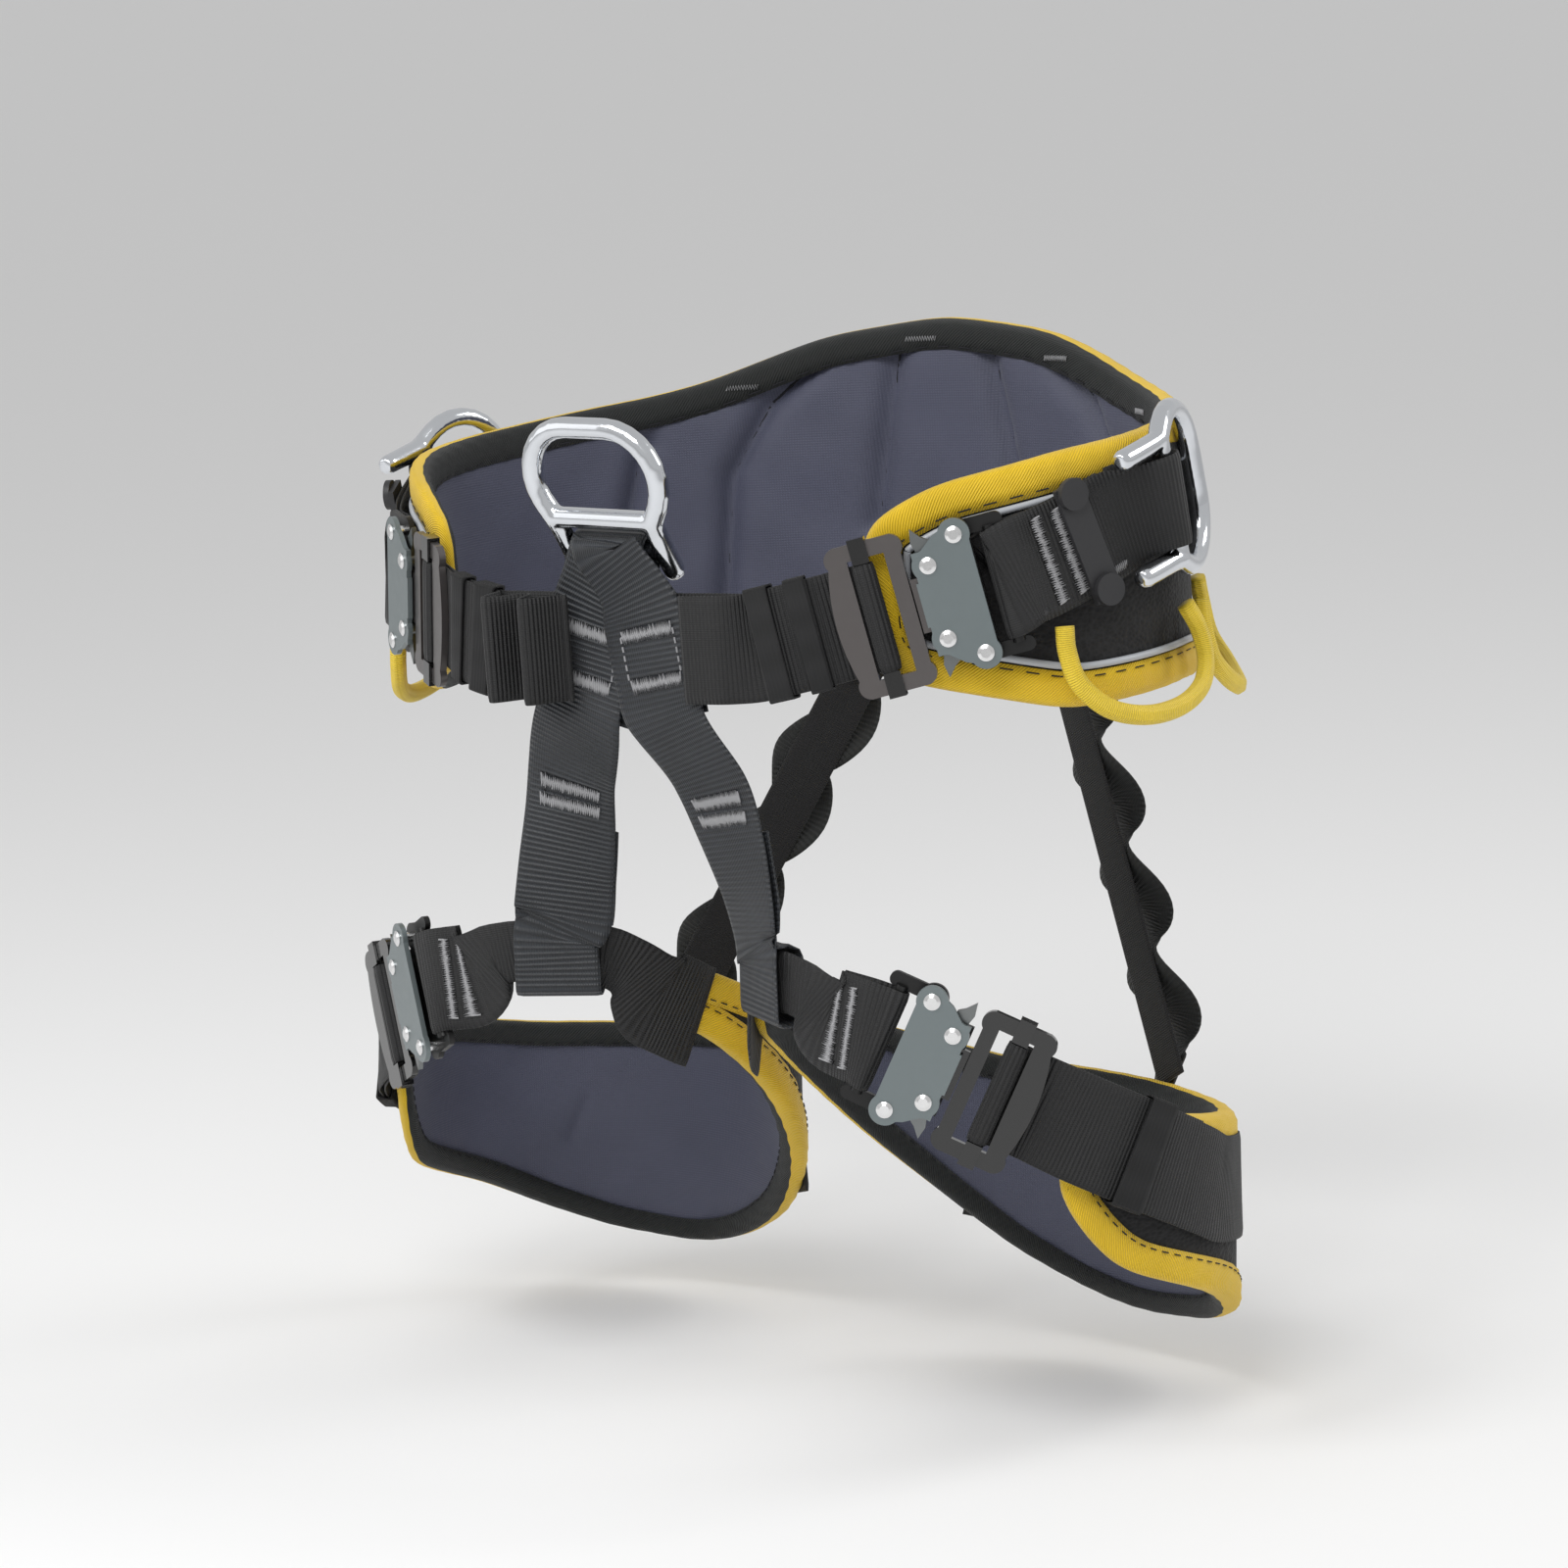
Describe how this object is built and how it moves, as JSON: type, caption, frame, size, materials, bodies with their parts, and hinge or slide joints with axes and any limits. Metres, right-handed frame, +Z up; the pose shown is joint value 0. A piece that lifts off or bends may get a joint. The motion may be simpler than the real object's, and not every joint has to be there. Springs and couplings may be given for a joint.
{
  "type": "tree climbing saddle",
  "caption": "Climbing saddle with a padded waist belt, ventral and side attachment rings, bridge straps, gear loops and padded leg loops with quick-release buckles.",
  "frame": {"origin": "centre of the waist opening, level with the middle of the front belt strap", "axes": "+Z up, the wearer faces -Y, and the wearer's left is +X"},
  "size_m": [0.4164, 0.2808, 0.4206],
  "materials": {
    "lining_fabric": "woven, soft",
    "foam": "closed-cell foam, inside",
    "mesh_fabric": "black spacer mesh",
    "binding_tape": "yellow twill tape, black on the inner top edge",
    "gear_cord": "braided sleeve",
    "moulded_rubber": "matt",
    "bridge_webbing": "ribbed, slight sheen",
    "ring_alloy": "polished",
    "plate_paint": "satin grey-green",
    "base_steel": "dark",
    "rivet_steel": "bright",
    "lever_steel": "satin",
    "adjuster_gunmetal": "gunmetal satin",
    "adjuster_black": "gloss black",
    "slider_black": "gloss black",
    "elastic": "knitted elastic",
    "webbing": "ribbed webbing"
  },
  "bodies": {
    "harness": {"waist_pad_lining": "lining_fabric", "waist_pad_foam": "foam", "waist_pad_shell": "mesh_fabric", "waist_pad_binding": "binding_tape", "belt_webbing": "webbing", "side_strap_left": "webbing", "side_strap_right": "webbing", "front_strap": "webbing", "belt_keepers": "elastic", "ring_keepers": "moulded_rubber", "bridge_strap_left": "bridge_webbing", "bridge_strap_right": "bridge_webbing", "gear_loops": "gear_cord", "waist_buckle_plates": "plate_paint", "waist_buckle_bases": "base_steel", "waist_buckle_rivets": "rivet_steel", "rear_strap_left": "elastic", "rear_strap_right": "elastic"},
    "waist_adjuster_body_left": {"waist_adjuster_left": "adjuster_gunmetal"},
    "waist_slider_body_left": {"waist_slider_left": "slider_black", "waist_tail_left": "webbing"},
    "waist_lever_body_left_upper": {"waist_lever_left_upper": "lever_steel"},
    "waist_lever_body_left_lower": {"waist_lever_left_lower": "lever_steel"},
    "leg_adjuster_body_left": {"leg_adjuster_left": "adjuster_black"},
    "leg_slider_body_left": {"leg_slider_left": "slider_black", "leg_tail_left": "webbing"},
    "leg_lever_body_left_upper": {"leg_lever_left_upper": "lever_steel"},
    "leg_lever_body_left_lower": {"leg_lever_left_lower": "lever_steel"},
    "side_ring_body_left": {"side_ring_left": "ring_alloy"},
    "leg_left": {"leg_cushion_left": "lining_fabric", "leg_shell_left": "mesh_fabric", "leg_binding_left": "binding_tape", "leg_inner_strap_left": "webbing", "leg_outer_strap_left": "webbing", "leg_keeper_left": "elastic", "leg_buckle_plate_left": "plate_paint", "leg_buckle_base_left": "base_steel", "leg_buckle_rivets_left": "rivet_steel"},
    "waist_adjuster_body_right": {"waist_adjuster_right": "adjuster_gunmetal"},
    "waist_slider_body_right": {"waist_slider_right": "slider_black", "waist_tail_right": "webbing"},
    "waist_lever_body_right_upper": {"waist_lever_right_upper": "lever_steel"},
    "waist_lever_body_right_lower": {"waist_lever_right_lower": "lever_steel"},
    "leg_adjuster_body_right": {"leg_adjuster_right": "adjuster_black"},
    "leg_slider_body_right": {"leg_slider_right": "slider_black", "leg_tail_right": "webbing"},
    "leg_lever_body_right_upper": {"leg_lever_right_upper": "lever_steel"},
    "leg_lever_body_right_lower": {"leg_lever_right_lower": "lever_steel"},
    "side_ring_body_right": {"side_ring_right": "ring_alloy"},
    "leg_right": {"leg_cushion_right": "lining_fabric", "leg_shell_right": "mesh_fabric", "leg_binding_right": "binding_tape", "leg_inner_strap_right": "webbing", "leg_outer_strap_right": "webbing", "leg_keeper_right": "elastic", "leg_buckle_plate_right": "plate_paint", "leg_buckle_base_right": "base_steel", "leg_buckle_rivets_right": "rivet_steel"},
    "ventral_ring_body": {"ventral_ring": "ring_alloy"}
  },
  "joints": [
    {"name": "waist_buckle_left_slide", "type": "slide", "parent": "harness", "child": "waist_adjuster_body_left", "axis": [-0.8391, -0.4896, -0.2371], "range_m": [0, 0.008], "deforming": ["waist_tail_left"]},
    {"name": "waist_slider_left_slide", "type": "slide", "parent": "waist_adjuster_body_left", "child": "waist_slider_body_left", "axis": [0.8391, 0.4896, 0.2371], "range_m": [0, 0.004], "deforming": ["waist_tail_left"]},
    {"name": "waist_lever_left_upper_pivot", "type": "hinge", "parent": "harness", "child": "waist_lever_body_left_upper", "pos_m": [0.13118, -0.08568, 0.03609], "axis": [0.4996, -0.866, 0.0201], "range_deg": [0, 10], "stiffness_Nm_per_rad": 0.05},
    {"name": "waist_lever_left_lower_pivot", "type": "hinge", "parent": "harness", "child": "waist_lever_body_left_lower", "pos_m": [0.13764, -0.08263, 0.00696], "axis": [-0.4996, 0.866, -0.0201], "range_deg": [0, 10], "stiffness_Nm_per_rad": 0.05},
    {"name": "leg_buckle_left_slide", "type": "slide", "parent": "leg_left", "child": "leg_adjuster_body_left", "axis": [0.7966, 0.4282, -0.4267], "range_m": [0, 0.01], "deforming": ["leg_tail_left"]},
    {"name": "leg_slider_left_slide", "type": "slide", "parent": "leg_adjuster_body_left", "child": "leg_slider_body_left", "axis": [-0.7966, -0.4282, 0.4267], "range_m": [0, 0.004], "deforming": ["leg_tail_left"]},
    {"name": "leg_lever_left_upper_pivot", "type": "hinge", "parent": "leg_left", "child": "leg_lever_body_left_upper", "pos_m": [0.1426, -0.09546, -0.15059], "axis": [-0.4735, 0.8808, 0], "range_deg": [0, 10], "stiffness_Nm_per_rad": 0.05},
    {"name": "leg_lever_left_lower_pivot", "type": "hinge", "parent": "leg_left", "child": "leg_lever_body_left_lower", "pos_m": [0.13133, -0.10152, -0.17772], "axis": [0.4735, -0.8808, 0], "range_deg": [0, 10], "stiffness_Nm_per_rad": 0.05},
    {"name": "side_ring_left_pivot", "type": "hinge", "parent": "harness", "child": "side_ring_body_left", "pos_m": [0.1919, -0.00412, 0.05425], "axis": [0.0471, 0.2019, -0.9783], "range_deg": [0, 5]},
    {"name": "leg_left_swing", "type": "hinge", "parent": "harness", "child": "leg_left", "pos_m": [0.106, -0.103, -0.118], "axis": [1, 0, 0], "range_deg": [-12, 12], "stiffness_Nm_per_rad": 6, "springref_deg": 4.01, "deforming": ["bridge_strap_left", "rear_strap_left"]},
    {"name": "waist_buckle_right_slide", "type": "slide", "parent": "harness", "child": "waist_adjuster_body_right", "axis": [0.8554, -0.4896, -0.169], "range_m": [0, 0.008], "deforming": ["waist_tail_right"]},
    {"name": "waist_slider_right_slide", "type": "slide", "parent": "waist_adjuster_body_right", "child": "waist_slider_body_right", "axis": [-0.8554, 0.4896, 0.169], "range_m": [0, 0.004], "deforming": ["waist_tail_right"]},
    {"name": "waist_lever_right_upper_pivot", "type": "hinge", "parent": "harness", "child": "waist_lever_body_right_upper", "pos_m": [-0.13366, -0.08568, 0.02546], "axis": [0.4996, 0.866, 0.0201], "range_deg": [0, 10], "stiffness_Nm_per_rad": 0.05},
    {"name": "waist_lever_right_lower_pivot", "type": "hinge", "parent": "harness", "child": "waist_lever_body_right_lower", "pos_m": [-0.13775, -0.08263, -0.00411], "axis": [-0.4996, -0.866, -0.0201], "range_deg": [0, 10], "stiffness_Nm_per_rad": 0.05},
    {"name": "leg_buckle_right_slide", "type": "slide", "parent": "leg_right", "child": "leg_adjuster_body_right", "axis": [-0.7966, 0.4282, -0.4267], "range_m": [0, 0.01], "deforming": ["leg_tail_right"]},
    {"name": "leg_slider_right_slide", "type": "slide", "parent": "leg_adjuster_body_right", "child": "leg_slider_body_right", "axis": [0.7966, -0.4282, 0.4267], "range_m": [0, 0.004], "deforming": ["leg_tail_right"]},
    {"name": "leg_lever_right_upper_pivot", "type": "hinge", "parent": "leg_right", "child": "leg_lever_body_right_upper", "pos_m": [-0.1426, -0.09546, -0.15059], "axis": [-0.4735, -0.8808, 0], "range_deg": [0, 10], "stiffness_Nm_per_rad": 0.05},
    {"name": "leg_lever_right_lower_pivot", "type": "hinge", "parent": "leg_right", "child": "leg_lever_body_right_lower", "pos_m": [-0.13133, -0.10152, -0.17772], "axis": [0.4735, 0.8808, 0], "range_deg": [0, 10], "stiffness_Nm_per_rad": 0.05},
    {"name": "side_ring_right_pivot", "type": "hinge", "parent": "harness", "child": "side_ring_body_right", "pos_m": [-0.19563, -0.00412, 0.03869], "axis": [-0.0315, -0.2019, 0.9789], "range_deg": [0, 5]},
    {"name": "leg_right_swing", "type": "hinge", "parent": "harness", "child": "leg_right", "pos_m": [-0.106, -0.103, -0.118], "axis": [1, 0, 0], "range_deg": [-12, 12], "stiffness_Nm_per_rad": 6, "springref_deg": 4.01, "deforming": ["bridge_strap_right", "rear_strap_right"]},
    {"name": "ventral_ring_pivot", "type": "hinge", "parent": "harness", "child": "ventral_ring_body", "pos_m": [0, -0.11912, 0.0405], "axis": [0.9992, 0, 0.0401], "range_deg": [0, 60]}
  ]
}
